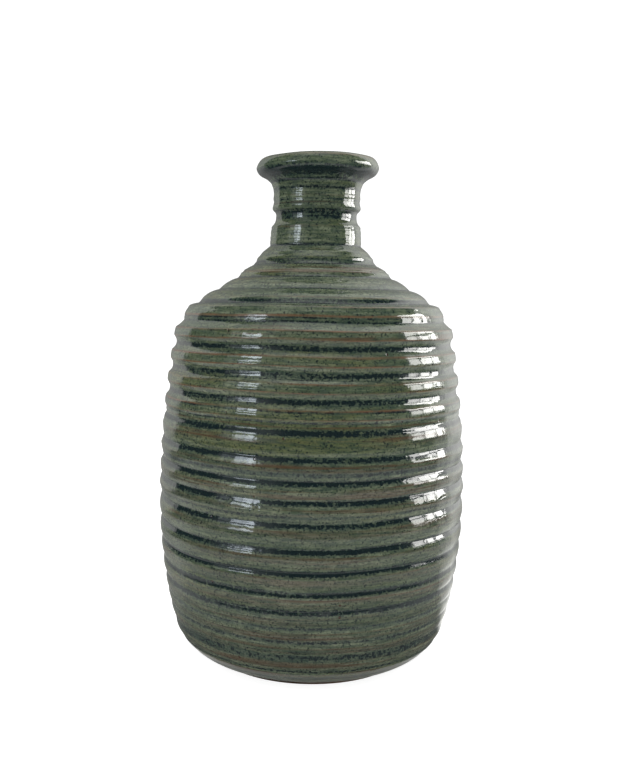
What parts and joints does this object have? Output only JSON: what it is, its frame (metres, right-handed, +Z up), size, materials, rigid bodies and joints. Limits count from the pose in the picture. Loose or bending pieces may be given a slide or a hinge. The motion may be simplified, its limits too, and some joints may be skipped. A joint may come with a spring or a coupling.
{
  "type": "ribbed sake bottle",
  "caption": "Wide-bodied stoneware bottle with round throwing ribs, stepped shoulder, short ringed neck and flared rolled lip, under glossy green glaze.",
  "frame": {"origin": "centre of the circle that the foot stands on", "axes": "+Z up along the bottle's axis; the bottle is turned about Z, so X and Y are free and +Y is away from the viewer"},
  "size_m": [0.1409, 0.141, 0.228],
  "materials": {
    "clay": "matte, iron-bearing stoneware fired dark brown",
    "slip": "matte fired slip",
    "outer_glaze": "glossy, grey-green to bottle green, dark in the grooves and rusty on the edges",
    "liner_glaze": "glossy, plain grey-green"
  },
  "bodies": {
    "root": {"foot_ring": "clay", "base_slab": "clay", "barrel_wall": "clay", "shoulder_dome": "clay", "neck_collar": "clay", "foot_seam_slip": "slip", "base_seam_slip": "slip", "shoulder_seam_slip": "slip", "neck_seam_slip": "slip", "outer_glaze": "outer_glaze", "liner_glaze": "liner_glaze"}
  },
  "joints": []
}
